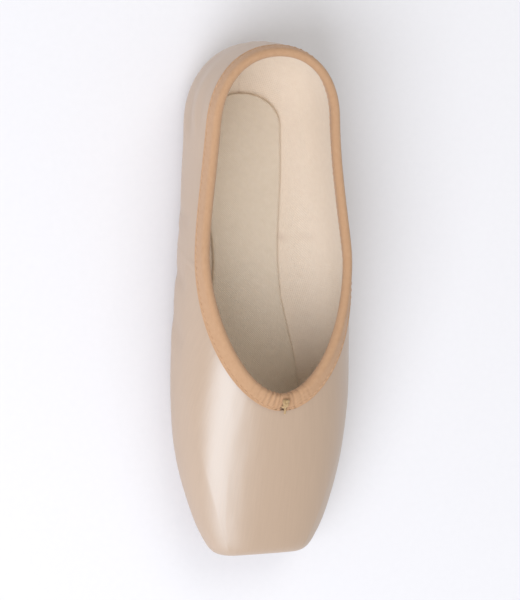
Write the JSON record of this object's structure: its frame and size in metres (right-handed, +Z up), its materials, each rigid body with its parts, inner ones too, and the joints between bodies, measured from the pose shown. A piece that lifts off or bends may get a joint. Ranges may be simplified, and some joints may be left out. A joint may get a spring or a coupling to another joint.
{
  "type": "pointe shoe",
  "caption": "Satin pointe shoe with a stiff box and flat platform, short leather outsole, cotton binding and knotted drawstring, standing empty on its sole.",
  "frame": {"origin": "on the floor under the middle of the shoe's length, on its mirror plane", "axes": "+Y to the heel, -Y to the platform under the toes, +Z up, X across; the shoe is its own mirror image in x = 0"},
  "size_m": [0.0812, 0.2279, 0.0575],
  "materials": {
    "satin": "peach-cream shoe satin with a soft sheen over a canvas lining",
    "sole_leather": "pale buffed sole leather, matte",
    "sock_cotton": "off-white woven cotton",
    "binding_cotton": "peach cotton tape, matte twill",
    "drawstring_cotton": "beige cotton cord"
  },
  "bodies": {
    "root": {"upper": "satin", "outsole": "sole_leather", "insole": "sock_cotton", "binding": "binding_cotton", "drawstring_knot": "drawstring_cotton", "drawstring_end": "drawstring_cotton"}
  },
  "joints": []
}
